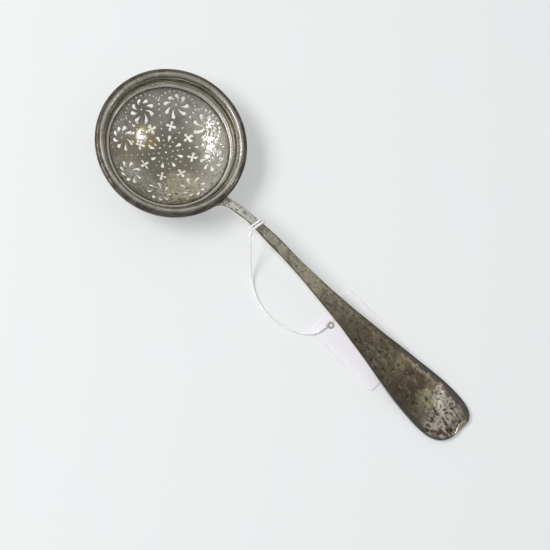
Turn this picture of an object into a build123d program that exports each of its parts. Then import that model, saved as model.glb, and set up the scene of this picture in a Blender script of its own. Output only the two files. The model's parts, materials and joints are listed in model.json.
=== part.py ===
from build123d import *
import os
from math import acos, asin, cos, pi, radians, sin, sqrt, tan

# Pierced sifter ladle. Origin under the bowl on the table, +X along the handle, +Z up, mm.

# Bowl: sheet dished to a shallow cap, worn flat underneath, with a bead and a cove below the rim
SHEET = 0.6
R_INNER = 32.0
WEAR = 0.14                              # metal worn off the outside of the bottom
CAP_Z = R_INNER + SHEET - WEAR           # centre of the cap's sphere
R_BEAD_IN, R_BEAD_OUT, BEAD_RISE = 19.9, 20.6, 0.32
R_COVE = 22.0                            # top of the cove, where the rim wire begins
COVE_BULGE = (21.6, 9.4)
COVE_UNDER = (21.0, (22.2, 8.9), 22.7)   # the same cove outside: start, middle, end
R_RIM = 25.0
RIM_SEAT_Z = 11.0
FLANGE = 0.85

# Rim wire: a round reed, and a slope outside it down to the edge
REED_WALL_Z = 11.6
R_CREST, CREST_Z = 23.0, 12.5
R_GROOVE, GROOVE_Z = 23.85, 11.95
SLOPE_MID, EDGE_Z = (24.5, 11.75), 11.35

# Piercing: eight repeats round the bowl
REPEATS = 8
STEP = 360 / REPEATS
ROSETTE_PHASE = 32.0
LINE_PHASE = ROSETTE_PHASE - STEP / 2
R_ROSETTE, R_CROSS, R_DROP = 15.65, 8.8, 4.7
# the way the petals curl, seen from above: 1 anticlockwise, -1 clockwise, from ROSETTE_PHASE on
CURLS = (1, -1, 1, -1, -1, -1, 1, -1)
PETALS = 8
PETAL_TAIL, PETAL_TIP, PETAL_SHIFT = 1.35, 4.1, 0.65
HEAD_R, HEAD_SIDE = 0.6, 0.45
ARM = (-0.28, 1.72, 0.47)                # one arm of a cross: tail, tip, radius of the round end
DROP = (-1.2, 1.1, 0.54)
DOT_R, SMALL_DOT_R, CENTRE_DOT_R = 0.3, 0.25, 0.38
LINE_RADII = (2.4, 4.1, 5.8, 7.9, 9.9, 12.0, 13.9, 15.5, 16.7)
SCALLOP_TOP, SCALLOP_DEPTH, SCALLOP_POWER = 19.4, 2.7, 2.6
SCALLOP_ANGLES = (0, 5.0, 9.9, 14.1, 17.6, 20.3)
CUT = 1.4                                # reach of a cutter each side of the sheet's middle

# Handle: stations of (x, y of the -Y side, y of the +Y side, top z, thickness)
STATIONS = (
    (28.5, -2.85, 0.5, 11.75, 2.5),
    (31.5, -2.45, 0.9, 12.1, 2.6),
    (34.5, -2.05, 1.15, 12.15, 2.65),
    (38.3, -1.85, 1.5, 11.85, 2.65),
    (44.0, -2.0, 2.0, 11.2, 2.6),
    (56.0, -2.1, 2.2, 9.85, 2.4),
    (66.0, -2.75, 2.65, 8.75, 2.3),
    (77.0, -3.8, 3.5, 7.55, 2.15),
    (87.0, -4.95, 4.65, 6.3, 2.0),
    (97.0, -6.4, 6.1, 4.9, 1.9),
    (107.0, -7.85, 7.6, 3.6, 1.8),
    (117.0, -8.8, 8.9, 2.45, 1.75),
    (124.0, -8.95, 9.25, 1.85, 1.7),
)
NECK = 3                                 # the station under the thread
# the end, rounded by hand, from the +Y side to the -Y side
TIP = ((129.0, 8.75), (132.4, 7.3), (134.2, 4.6), (134.2, 1.0), (133.5, -2.9), (131.8, -6.2), (128.6, -8.2))
TIP_X, TIP_TOP_Z = 134.5, 1.7
# the root spreads along the rim on the -Y side only
ROOT_X, ROOT_TOP_Z, ROOT_BOTTOM_Z = 23.3, 10.7, 8.7
NEAR_ROOT = ((24.4, -5.7), (25.1, -4.35), (26.3, -3.3))
FAR_ROOT = ((26.3, 0.0), (24.4, 0.1))
HANDLE_EDGE = 0.35
OVER = 1.0
# the end's middle is knocked down to a slope that starts at this line
KNOCK, KNOCK_SLOPE, KNOCK_SIZE = (132.9, 1.7, 1.7), 38, (6.0, 5.6, 3.0)

# Cotton thread: two turns round the neck, a knot, and a loose tail with a knot at its end
THREAD = 0.75
WRAPS_X = (37.75, 38.85)
WRAP_LEAN = 0.2
WRAP_GAP = 0.2
NECK_KNOT, NECK_KNOT_SIZE = (38.7, -3.3, 10.35), (0.75, 0.65, 0.7)
TAIL = (
    (38.8, -3.5, 9.8), (40.3, -4.9, 8.5), (43.2, -7.1, 5.9), (46.2, -9.3, 2.9), (49.4, -11.8, 1.0),
    (53.2, -14.2, 0.5), (57.6, -15.9, 0.42), (62.6, -16.6, 0.42), (67.4, -15.7, 0.42),
    (71.8, -14.0, 0.42), (75.4, -11.7, 0.65), (77.5, -9.0, 0.85), (77.7, -6.5, 0.9),
)
ARC_SHARE = 0.45

# Ticket: a blank card with a brass eyelet in one corner, lying under the handle
TICKET = (29.0, 20.0, 0.35)
TICKET_CENTRE, TICKET_TURN = (89.4, -0.4), -2.0
TICKET_CORNER = 1.2
EYELET = (78.8, -3.9)
EYELET_R, EYELET_HOLE, EYELET_RISE = 1.25, 0.6, 0.3
TICKET_KNOT, TICKET_KNOT_SIZE = (77.7, -5.7, 0.95), (0.75, 0.85, 0.6)


def cap_z(r, sphere_r):
    """Height of the cap's sphere of that radius at plan radius r."""
    return CAP_Z - sqrt(sphere_r**2 - r**2)


def ring(*edges):
    """The solid that a closed profile in the XZ plane makes when it turns about Z."""
    return revolve(make_face(edges), Axis.Z, 360)


def bowl_blank():
    outer = R_INNER + SHEET
    flat = sqrt(outer**2 - CAP_Z**2)
    start, mid, end = COVE_UNDER
    under = Vector(start, 0, cap_z(start, outer))
    flange_z = RIM_SEAT_Z - FLANGE
    bead_in = Vector(R_BEAD_IN, 0, cap_z(R_BEAD_IN, R_INNER))
    bead_out = Vector(R_BEAD_OUT, 0, cap_z(R_BEAD_OUT, R_INNER))
    r_bead = (R_BEAD_IN + R_BEAD_OUT) / 2
    bead_top = Vector(r_bead, 0, cap_z(r_bead, R_INNER) + BEAD_RISE)
    r_mid = R_BEAD_IN / 2
    return ring(
        Line((0, 0, 0), (flat, 0, 0)),
        ThreePointArc((flat, 0, 0), (r_mid, 0, cap_z(r_mid, outer)), under),
        ThreePointArc(under, (mid[0], 0, mid[1]), (end, 0, flange_z)),
        Line((end, 0, flange_z), (R_RIM, 0, flange_z)),
        Line((R_RIM, 0, flange_z), (R_RIM, 0, RIM_SEAT_Z)),
        Line((R_RIM, 0, RIM_SEAT_Z), (R_COVE, 0, RIM_SEAT_Z)),
        ThreePointArc((R_COVE, 0, RIM_SEAT_Z), (COVE_BULGE[0], 0, COVE_BULGE[1]), bead_out),
        ThreePointArc(bead_out, bead_top, bead_in),
        ThreePointArc(bead_in, (r_mid, 0, cap_z(r_mid, R_INNER)), (0, 0, CAP_Z - R_INNER)),
        Line((0, 0, CAP_Z - R_INNER), (0, 0, 0)),
    )


def sheet_plane(r, angle):
    """Plane in the middle of the sheet at plan radius r: x points outward up the bowl, z inward."""
    middle = R_INNER + SHEET / 2
    rise = asin(r / middle)
    a = radians(angle)
    inward = Vector(-sin(rise) * cos(a), -sin(rise) * sin(a), cos(rise))
    outward = Vector(cos(rise) * cos(a), cos(rise) * sin(a), sin(rise))
    return Plane(Vector(0, 0, CAP_Z) - inward * middle, x_dir=outward, z_dir=inward)


def drop_face(tail, tip, radius):
    """A teardrop along x: a point at tail, and a round end of that radius that reaches tip."""
    centre = tip - radius
    reach = centre - tail
    turn = acos(radius / reach)
    x, y = centre - radius * cos(turn), radius * sin(turn)
    return make_face([
        Line((tail, 0), (x, y)),
        ThreePointArc((x, y), (tip, 0), (x, -y)),
        Line((x, -y), (tail, 0)),
    ])


def petal_face(tip, curl):
    """A comma along x: a thin tail, a back that bows out, and a round head that hooks to one side."""
    head, middle = tip - HEAD_R, (PETAL_TAIL + tip) / 2
    rim = [(head + HEAD_R * cos(radians(a)), HEAD_SIDE + HEAD_R * sin(radians(a))) for a in (-60, 25, 155)]
    points = [(PETAL_TAIL, -0.1), (middle - 0.25, -0.38), *rim, (middle - 0.2, 0.12)]
    tail, back, crown, nose, chin, belly = [(x, y * curl) for x, y in points]
    return make_face([
        ThreePointArc(tail, back, crown),
        ThreePointArc(crown, nose, chin),
        ThreePointArc(chin, belly, tail),
    ])


def cross_face():
    arm = drop_face(*ARM)
    faces = [Rot(0, 0, 90 * i) * arm for i in range(4)]
    return faces[0] + faces[1] + faces[2] + faces[3]


def cutters():
    """Every pierced shape as a short prism square to the sheet."""
    tools = []

    def cut(plane, face):
        tools.extend(extrude(plane * face, CUT, both=True).solids())

    def dot(r, angle, radius):
        cut(sheet_plane(r, angle), Circle(radius))

    dot(0, 0, CENTRE_DOT_R)
    cross = cross_face()
    drop = drop_face(*DROP)
    for i in range(REPEATS):
        at = ROSETTE_PHASE + i * STEP
        line = LINE_PHASE + i * STEP
        for r in LINE_RADII:
            dot(r, line, DOT_R)
        for angle in SCALLOP_ANGLES:
            r = SCALLOP_TOP - SCALLOP_DEPTH * (angle / (STEP / 2)) ** SCALLOP_POWER
            for side in sorted({angle, -angle}):
                dot(r, at + side, SMALL_DOT_R)
        cut(sheet_plane(R_CROSS, at), cross)
        cut(sheet_plane(R_DROP, at), drop)
        rosette = sheet_plane(R_ROSETTE, at)
        cut(rosette, Circle(DOT_R))
        for k in range(PETALS):
            turn = k * 360 / PETALS
            tip = PETAL_TIP - PETAL_SHIFT * cos(radians(turn))
            cut(rosette, Rot(0, 0, turn) * petal_face(tip, CURLS[i]))
    return tools


def rim_wire():
    return ring(
        Line((R_COVE, 0, RIM_SEAT_Z), (R_RIM, 0, RIM_SEAT_Z)),
        Line((R_RIM, 0, RIM_SEAT_Z), (R_RIM, 0, EDGE_Z)),
        ThreePointArc((R_RIM, 0, EDGE_Z), (SLOPE_MID[0], 0, SLOPE_MID[1]), (R_GROOVE, 0, GROOVE_Z)),
        ThreePointArc((R_GROOVE, 0, GROOVE_Z), (R_CREST, 0, CREST_Z), (R_COVE, 0, REED_WALL_Z)),
        Line((R_COVE, 0, REED_WALL_Z), (R_COVE, 0, RIM_SEAT_Z)),
    )


def handle_plan():
    """The handle seen from above: spread root, narrow neck, broad rounded end."""
    near = list(NEAR_ROOT) + [(x, y) for x, y, _, _, _ in STATIONS]
    far = [(x, y) for x, _, y, _, _ in reversed(STATIONS)] + list(FAR_ROOT)
    return make_face([
        Spline(*near, *reversed(TIP), *far),
        Line(far[-1], (ROOT_X, far[-1][1])),
        Line((ROOT_X, far[-1][1]), (ROOT_X, near[0][1])),
        Line((ROOT_X, near[0][1]), near[0]),
    ])


def handle_side():
    """The handle seen from the side, in the XZ plane, a little over length at both ends."""
    start, end = ROOT_X - OVER, TIP_X + OVER
    rest = STATIONS[-1][0]
    top = [(start, ROOT_TOP_Z)] + [(x, z) for x, _, _, z, _ in STATIONS]
    low = [(start, ROOT_BOTTOM_Z)] + [(x, z - t) for x, _, _, z, t in STATIONS[:-1]]
    return make_face([
        Spline(*[(x, 0, z) for x, z in top], (end, 0, TIP_TOP_Z)),
        Line((end, 0, TIP_TOP_Z), (end, 0, 0)),
        Line((end, 0, 0), (rest, 0, 0)),
        Spline((rest, 0, 0), *[(x, 0, z) for x, z in reversed(low)], tangents=((-1, 0, 0), (-1, 0, 0))),
        Line((start, 0, ROOT_BOTTOM_Z), (start, 0, ROOT_TOP_Z)),
    ])


def handle(seat):
    plan = extrude(handle_plan(), CREST_Z + OVER)
    side = extrude(Pos(0, R_RIM, 0) * handle_side(), 2 * R_RIM, dir=(0, -1, 0))
    body = plan & side
    broad = body.faces().filter_by(lambda f: abs(f.normal_at().Z) > 0.5)
    edges = broad.edges().filter_by(lambda e: e.center().X > ROOT_X + OVER)
    outline = [e for e in edges if sum((g.center() - e.center()).length < 0.01 for g in edges) == 1]
    body = fillet(outline, HANDLE_EDGE)
    knocked = Box(*KNOCK_SIZE, align=(Align.MIN, Align.CENTER, Align.MIN))
    body -= Pos(*KNOCK) * Rot(0, KNOCK_SLOPE, 0) * knocked
    return (body - seat).solids().sort_by(SortBy.VOLUME)[-1]


def wrap(x):
    """One turn of thread round the neck: a rounded oblong loop that leans a little."""
    (x0, near, far0, top0, thick), (x1, _, far1, top1, _) = STATIONS[NECK:NECK + 2]
    fall, spread = (top1 - top0) / (x1 - x0), (far1 - far0) / (x1 - x0)
    middle = top0 + fall * (x - x0) - thick / 2
    far = far0 + spread * (x - x0)
    loop = Plane((x, (near + far) / 2, middle), x_dir=(WRAP_LEAN, 1, 0), z_dir=(1, -WRAP_LEAN, fall))
    across, down = far - near + 2 * WRAP_GAP, thick + 2 * WRAP_GAP
    outer = RectangleRounded(across + 2 * THREAD, down + 2 * THREAD, THREAD)
    return extrude(loop * (outer - Rectangle(across, down)), THREAD / 2, both=True)


def cord_radii(points):
    """The largest arc that each corner of a cord's route takes."""
    route = [Vector(*p) for p in points]
    radii = []
    for a, b, c in zip(route, route[1:], route[2:]):
        turn = radians((b - a).get_angle(c - b))
        radii.append(ARC_SHARE * min((b - a).length, (c - b).length) / tan(turn / 2))
    print("cord diameter", THREAD, "radii", [round(r, 1) for r in radii])
    return radii


def tail():
    path = FilletPolyline(*TAIL, radius=cord_radii(TAIL))
    section = Plane(TAIL[0], z_dir=path % 0) * Circle(THREAD / 2)
    cord = sweep(section, path)
    print("cord length", round(path.length, 2),
          "volume against section times length", round(cord.volume / (path.length * section.area), 4))
    return cord


def knot(centre, size):
    return Pos(*centre) * scale(Sphere(1), by=size)


def ticket():
    long, wide, thick = TICKET
    card = extrude(RectangleRounded(long, wide, TICKET_CORNER), thick)
    hole = Pos(*EYELET) * Cylinder(EYELET_HOLE, 4 * thick)
    return Pos(*TICKET_CENTRE) * Rot(0, 0, TICKET_TURN) * card - hole


def eyelet():
    """A rolled ring seated on the card."""
    seat = TICKET[2]
    crown = ((EYELET_R + EYELET_HOLE) / 2, 0, seat + EYELET_RISE)
    return Pos(*EYELET) * ring(
        Line((EYELET_HOLE, 0, seat), (EYELET_R, 0, seat)),
        ThreePointArc((EYELET_R, 0, seat), crown, (EYELET_HOLE, 0, seat)),
    )


def main():
    blank, wire = bowl_blank(), rim_wire()
    cord, card, brass = tail(), ticket(), eyelet()
    first, second = [wrap(x) for x in WRAPS_X]
    nodes = {
        "bowl": blank - cutters(),
        "rim_wire": wire,
        "handle": handle(blank + wire),
        "thread_wrap_1": first,
        "thread_wrap_2": second,
        "neck_knot": knot(NECK_KNOT, NECK_KNOT_SIZE) - first - second - cord,
        "thread_tail": cord,
        "ticket_knot": knot(TICKET_KNOT, TICKET_KNOT_SIZE) - cord - card - brass,
        "ticket": card,
        "eyelet": brass,
    }
    os.makedirs("parts", exist_ok=True)
    for name, shape in nodes.items():
        box = shape.bounding_box()
        print(name, len(shape.solids()), shape.is_valid, round(shape.volume, 1), box.min, box.max)
        export_step(shape, f"parts/{name}.step")


main()
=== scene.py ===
import json
import math
import random

import bmesh
import bpy
import numpy as np
from mathutils import Matrix, Vector, noise
from mathutils.geometry import delaunay_2d_cdt
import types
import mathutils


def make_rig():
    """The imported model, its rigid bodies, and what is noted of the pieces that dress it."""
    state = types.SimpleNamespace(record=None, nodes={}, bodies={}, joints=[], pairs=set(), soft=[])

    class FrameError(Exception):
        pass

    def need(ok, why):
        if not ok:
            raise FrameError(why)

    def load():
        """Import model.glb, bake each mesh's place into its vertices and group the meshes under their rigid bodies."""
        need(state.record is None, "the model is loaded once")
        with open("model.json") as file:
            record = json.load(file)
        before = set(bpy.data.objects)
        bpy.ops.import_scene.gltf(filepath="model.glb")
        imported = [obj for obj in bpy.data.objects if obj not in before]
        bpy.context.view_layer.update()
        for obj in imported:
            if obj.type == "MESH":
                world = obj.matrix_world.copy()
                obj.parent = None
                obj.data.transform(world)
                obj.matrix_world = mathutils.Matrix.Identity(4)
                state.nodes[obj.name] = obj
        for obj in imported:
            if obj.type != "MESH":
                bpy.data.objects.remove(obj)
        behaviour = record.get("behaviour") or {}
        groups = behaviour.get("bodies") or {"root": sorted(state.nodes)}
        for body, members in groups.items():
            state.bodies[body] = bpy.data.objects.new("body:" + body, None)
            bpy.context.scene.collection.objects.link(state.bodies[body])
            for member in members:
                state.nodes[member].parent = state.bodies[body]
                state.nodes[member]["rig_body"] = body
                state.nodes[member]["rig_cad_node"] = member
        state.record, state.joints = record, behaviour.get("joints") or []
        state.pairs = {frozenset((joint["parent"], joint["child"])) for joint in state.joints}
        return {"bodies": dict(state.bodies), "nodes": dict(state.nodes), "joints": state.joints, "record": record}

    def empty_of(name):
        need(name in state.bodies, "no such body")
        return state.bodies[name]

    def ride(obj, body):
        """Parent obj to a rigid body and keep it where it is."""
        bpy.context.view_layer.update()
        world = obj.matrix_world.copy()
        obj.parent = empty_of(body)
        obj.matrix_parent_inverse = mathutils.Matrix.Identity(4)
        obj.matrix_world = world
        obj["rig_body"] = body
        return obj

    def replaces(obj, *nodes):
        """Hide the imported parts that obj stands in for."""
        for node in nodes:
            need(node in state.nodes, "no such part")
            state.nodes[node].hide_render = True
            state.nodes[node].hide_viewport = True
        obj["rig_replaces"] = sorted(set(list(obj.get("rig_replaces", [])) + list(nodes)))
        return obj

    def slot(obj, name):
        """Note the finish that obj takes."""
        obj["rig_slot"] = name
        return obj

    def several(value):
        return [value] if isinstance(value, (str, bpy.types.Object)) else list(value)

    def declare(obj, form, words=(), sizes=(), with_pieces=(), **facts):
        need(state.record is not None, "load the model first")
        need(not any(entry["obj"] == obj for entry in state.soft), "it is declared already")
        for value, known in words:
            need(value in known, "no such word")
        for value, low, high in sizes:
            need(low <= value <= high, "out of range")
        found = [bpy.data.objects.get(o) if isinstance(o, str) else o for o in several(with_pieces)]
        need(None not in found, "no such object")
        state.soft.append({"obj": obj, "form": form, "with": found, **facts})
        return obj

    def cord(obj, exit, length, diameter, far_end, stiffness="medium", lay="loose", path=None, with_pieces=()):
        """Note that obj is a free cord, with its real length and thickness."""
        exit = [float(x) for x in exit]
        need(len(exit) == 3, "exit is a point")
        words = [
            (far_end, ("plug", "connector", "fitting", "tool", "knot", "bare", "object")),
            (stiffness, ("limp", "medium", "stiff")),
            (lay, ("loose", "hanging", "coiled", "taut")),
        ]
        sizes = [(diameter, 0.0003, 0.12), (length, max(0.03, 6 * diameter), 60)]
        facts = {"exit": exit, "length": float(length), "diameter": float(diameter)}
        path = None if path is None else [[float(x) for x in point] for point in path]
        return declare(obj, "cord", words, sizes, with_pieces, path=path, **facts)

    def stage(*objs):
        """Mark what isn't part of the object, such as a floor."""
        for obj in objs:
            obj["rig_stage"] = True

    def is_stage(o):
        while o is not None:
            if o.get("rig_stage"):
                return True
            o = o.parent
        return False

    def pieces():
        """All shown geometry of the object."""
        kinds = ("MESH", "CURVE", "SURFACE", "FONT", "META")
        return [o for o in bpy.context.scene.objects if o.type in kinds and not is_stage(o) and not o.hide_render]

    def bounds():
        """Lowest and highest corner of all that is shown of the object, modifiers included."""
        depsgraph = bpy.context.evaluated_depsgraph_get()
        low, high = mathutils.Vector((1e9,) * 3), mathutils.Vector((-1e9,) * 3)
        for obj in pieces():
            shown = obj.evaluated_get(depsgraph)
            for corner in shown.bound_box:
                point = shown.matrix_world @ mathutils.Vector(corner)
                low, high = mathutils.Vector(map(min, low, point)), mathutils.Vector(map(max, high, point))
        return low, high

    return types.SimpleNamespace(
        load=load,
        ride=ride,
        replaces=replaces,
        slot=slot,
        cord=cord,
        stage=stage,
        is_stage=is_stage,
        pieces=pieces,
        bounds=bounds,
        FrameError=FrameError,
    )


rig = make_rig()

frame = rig.load()
cad_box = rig.bounds()

# Shapes are in millimetres in the CAD's frame until a mesh is made from them.
MM = 0.001

# ---------------------------------------------------------------- driving sizes
# bowl: a cap of a sphere, worn flat where it stands, then a bead, a cove and a flange
SHEET, R_INNER, WEAR = 0.6, 32.0, 0.14
CAP_Z = R_INNER + SHEET - WEAR
R_BEAD_IN, R_BEAD_OUT, BEAD_RISE = 19.9, 20.6, 0.32
R_COVE, R_RIM, RIM_SEAT_Z, FLANGE = 22.0, 25.0, 11.0, 0.85
SOFT = 0.1
BOWL_DENTS = (0.09, 9.0, 1), (0.010, 3.2, 2)

# rim wire, all (r, z): a round reed with a sloped shoulder, a groove and an outer slope
REED_WALL, REED_SHOULDER, REED_CREST = (22.12, 11.6), (22.36, 12.08), (23.0, 12.5)
GROOVE, SLOPE_MID, EDGE_Z = (23.85, 11.95), (24.5, 11.75), 11.35
RIM_DENTS = (0.05, 7.0, 3), (0.025, 2.2, 4)

# piercing: the same figures in each eighth of the bowl
REPEATS = 8
STEP = 360 / REPEATS
ROSETTE_PHASE = 32.0
LINE_PHASE = ROSETTE_PHASE - STEP / 2
R_ROSETTE, R_CROSS, R_DROP = 15.65, 8.8, 4.7
CURLS = (1, -1, 1, -1, -1, -1, 1, -1)
PETALS = 8
PETAL_TAIL, PETAL_TIP, PETAL_SHIFT = 1.35, 4.1, 0.65
HEAD_R, HEAD_SIDE = 0.6, 0.45
ARM_TIP, ARM_R = 1.72, 0.47
DROP = (-1.2, 1.1, 0.54)
DOT_R, SMALL_DOT_R, CENTRE_DOT_R = 0.3, 0.25, 0.38
LINE_RADII = (2.4, 4.1, 5.8, 7.9, 9.9, 12.0, 13.9, 15.5, 16.7)
SCALLOP_TOP, SCALLOP_DEPTH, SCALLOP_POWER = 19.4, 2.7, 2.6
SCALLOP_ANGLES = (0, 5.0, 9.9, 14.1, 17.6, 20.3)
CUT_EDGE = 0.07

# how finely the pieces are divided: points round the bowl and the rim, and the spacing of free points
BOWL_SEGMENTS, RIM_SEGMENTS, EYELET_SEGMENTS = 288, 432, 40
BOWL_GRID, HANDLE_GRID, TICKET_GRID = 0.5, 0.62, 1.0
OUTLINE_POINTS, ROOT_POINTS = 440, 14

# handle: x, y of the -Y side, y of the +Y side, top z, thickness
STATIONS = (
    (28.5, -2.85, 0.5, 11.75, 2.5), (31.5, -2.45, 0.9, 12.1, 2.6), (34.5, -2.05, 1.15, 12.15, 2.65),
    (38.3, -1.85, 1.5, 11.85, 2.65), (44.0, -2.0, 2.0, 11.2, 2.6), (56.0, -2.1, 2.2, 9.85, 2.4),
    (66.0, -2.75, 2.65, 8.75, 2.3), (77.0, -3.8, 3.5, 7.55, 2.15), (87.0, -4.95, 4.65, 6.3, 2.0),
    (97.0, -6.4, 6.1, 4.9, 1.9), (107.0, -7.85, 7.6, 3.6, 1.8), (117.0, -8.8, 8.9, 2.45, 1.75),
    (124.0, -8.95, 9.25, 1.85, 1.7),
)
TIP = ((129.0, 8.75), (132.4, 7.3), (134.2, 4.6), (134.2, 1.0), (133.5, -2.9), (131.8, -6.2), (128.6, -8.2))
TIP_X, TIP_TOP_Z = 134.5, 1.7
ROOT_X, ROOT_TOP_Z, ROOT_BOTTOM_Z = 23.3, 10.7, 8.7
NEAR_ROOT = ((24.4, -5.7), (25.1, -4.35), (26.3, -3.3))
FAR_ROOT = ((26.3, 0.0), (24.4, 0.1))
CROWN, MARGIN_DROP, LEAST_TOP = 0.10, 0.22, 0.45
TOP_ROUND, UNDER_ROUND = 0.42, 0.25
HANDLE_DENTS = (0.12, 11.0, 5), (0.035, 3.0, 6)

# the knocked corner at the tip: where it starts, its slope in degrees, half its width, how its start curves
KNOCK, KNOCK_SLOPE, KNOCK_HALF = (132.9, 1.7), 20, 2.8
KNOCK_FADE, KNOCK_CURVE, KNOCK_WAVE = 0.4, 0.35, 1.1

# thread and ticket
THREAD = 0.75
PLY_STEP, PLY_PITCH, PLIES, PLY_SIDES = 0.16, 2.3, 3, 8
WRAPS_X, WRAP_LEAN = (37.75, 38.85), 0.2
TAIL = (
    (38.8, -3.5, 9.8), (40.3, -4.9, 8.5), (43.2, -7.1, 5.9), (46.2, -9.3, 2.9), (49.4, -11.8, 1.0),
    (53.2, -14.2, 0.5), (57.6, -15.9, 0.42), (62.6, -16.6, 0.42), (67.4, -15.7, 0.42),
    (71.8, -14.0, 0.42), (75.4, -11.7, 0.65), (77.5, -9.0, 0.85), (77.7, -6.5, 0.9),
)
TAIL_LENGTH = 0.050
NECK_KNOT, TICKET_KNOT, KNOT_SIZE = (38.7, -3.3, 10.35), (77.7, -5.7, 0.95), 0.42
TICKET = (29.0, 20.0, 0.35)
TICKET_CENTRE, TICKET_TURN, TICKET_CORNER, TICKET_EDGE = (89.4, -0.4), -2.0, 1.2, 0.05
EYELET, EYELET_R, EYELET_HOLE, EYELET_RISE = (78.8, -3.9), 1.25, 0.6, 0.3


# ---------------------------------------------------------------- camera
def make_camera():
    """A long lens above the bowl, rolled so the handle runs to the lower right."""
    azimuth, elevation, roll = (math.radians(d) for d in (-4.89, 71.06, 48.35))
    target, distance = Vector((53.88, -6.24, 5.0)) * MM, 549.0 * MM
    back = Vector((math.sin(azimuth) * math.cos(elevation), -math.cos(azimuth) * math.cos(elevation),
                   math.sin(elevation)))
    level = (-back).cross(Vector((0, 0, 1))).normalized()
    upright = back.cross(level)
    right = level * math.cos(roll) + upright * math.sin(roll)
    up = upright * math.cos(roll) - level * math.sin(roll)
    data = bpy.data.cameras.new("camera")
    data.lens, data.sensor_width = 110, 36
    data.clip_start, data.clip_end = 0.01, 10
    camera = bpy.data.objects.new("camera", data)
    bpy.context.scene.collection.objects.link(camera)
    turn = Matrix((right, up, back)).transposed().to_4x4()
    camera.matrix_world = Matrix.Translation(target + back * distance) @ turn
    bpy.context.scene.camera = camera


# ---------------------------------------------------------------- mesh helpers
def add_mesh(name, verts_mm, faces, material, slot, replaced):
    """A smooth-shaded piece of the object that stands for a CAD node."""
    mesh = bpy.data.meshes.new(name)
    mesh.from_pydata([tuple(v) for v in np.asarray(verts_mm) * MM], [], faces)
    mesh.update()
    mesh.polygons.foreach_set("use_smooth", [True] * len(mesh.polygons))
    mesh.materials.append(material)
    piece = bpy.data.objects.new(name, mesh)
    bpy.context.scene.collection.objects.link(piece)
    fix = bmesh.new()
    fix.from_mesh(mesh)
    bmesh.ops.recalc_face_normals(fix, faces=fix.faces)
    fix.to_mesh(mesh)
    fix.free()
    even = piece.modifiers.new("even shading", "WEIGHTED_NORMAL")
    even.weight, even.keep_sharp = 90, True
    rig.ride(piece, "root")
    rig.replaces(piece, *replaced)
    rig.slot(piece, slot)
    return piece


def arc(a, b, c, steps):
    """Points on the arc from a through b to c, without c."""
    (ax, ay), (bx, by), (cx, cy) = a, b, c
    d = 2 * (ax * (by - cy) + bx * (cy - ay) + cx * (ay - by))
    sa, sb, sc = ax * ax + ay * ay, bx * bx + by * by, cx * cx + cy * cy
    ux = (sa * (by - cy) + sb * (cy - ay) + sc * (ay - by)) / d
    uy = (sa * (cx - bx) + sb * (ax - cx) + sc * (bx - ax)) / d
    radius = math.hypot(ax - ux, ay - uy)
    start, mid, end = (math.atan2(y - uy, x - ux) for x, y in (a, b, c))
    turn = (end - start) % (2 * math.pi)
    if (mid - start) % (2 * math.pi) > turn:
        turn -= 2 * math.pi
    return [(ux + radius * math.cos(start + turn * t), uy + radius * math.sin(start + turn * t))
            for t in np.linspace(0, 1, steps, endpoint=False)]


def grown(outline, by):
    """A closed 2-D outline moved outward by a small distance."""
    p = np.asarray(outline, float)
    ahead, behind = np.roll(p, -1, 0) - p, p - np.roll(p, 1, 0)
    ahead /= np.linalg.norm(ahead, axis=1)[:, None]
    behind /= np.linalg.norm(behind, axis=1)[:, None]
    along = ahead + behind
    along /= np.linalg.norm(along, axis=1)[:, None]
    out = np.c_[along[:, 1], -along[:, 0]]
    area = np.sum(p[:, 0] * np.roll(p[:, 1], -1) - np.roll(p[:, 0], -1) * p[:, 1])
    return p + out * by * (1 if area > 0 else -1)


def inside(points, loop):
    """Which 2-D points lie inside a closed loop."""
    x, y = points[:, 0], points[:, 1]
    hit = np.zeros(len(points), bool)
    for (x0, y0), (x1, y1) in zip(loop, np.roll(loop, -1, 0)):
        crosses = (y0 > y) != (y1 > y)
        with np.errstate(divide="ignore", invalid="ignore"):
            hit ^= crosses & (x < (x1 - x0) * (y - y0) / (y1 - y0) + x0)
    return hit


def free_points(loops, spacing):
    """A triangular grid of points inside the first loop and clear of every loop."""
    low, high = loops[0].min(0), loops[0].max(0)
    rows = np.arange(low[1], high[1], spacing * math.sqrt(3) / 2)
    grid = np.array([(x + (i % 2) * spacing / 2, y) for i, y in enumerate(rows)
                     for x in np.arange(low[0], high[0], spacing)])
    keep = inside(grid, loops[0])
    clear = spacing * 0.55
    for i, loop in enumerate(loops):
        lo, hi = loop.min(0) - clear, loop.max(0) + clear
        near = np.where(keep & (grid >= lo).all(1) & (grid <= hi).all(1))[0]
        if not len(near):
            continue
        gap = np.linalg.norm(grid[near][:, None] - loop[None], axis=2).min(1)
        drop = gap < clear
        if i:
            drop |= inside(grid[near], loop)
        keep[near[drop]] = False
    return grid[keep]


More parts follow.
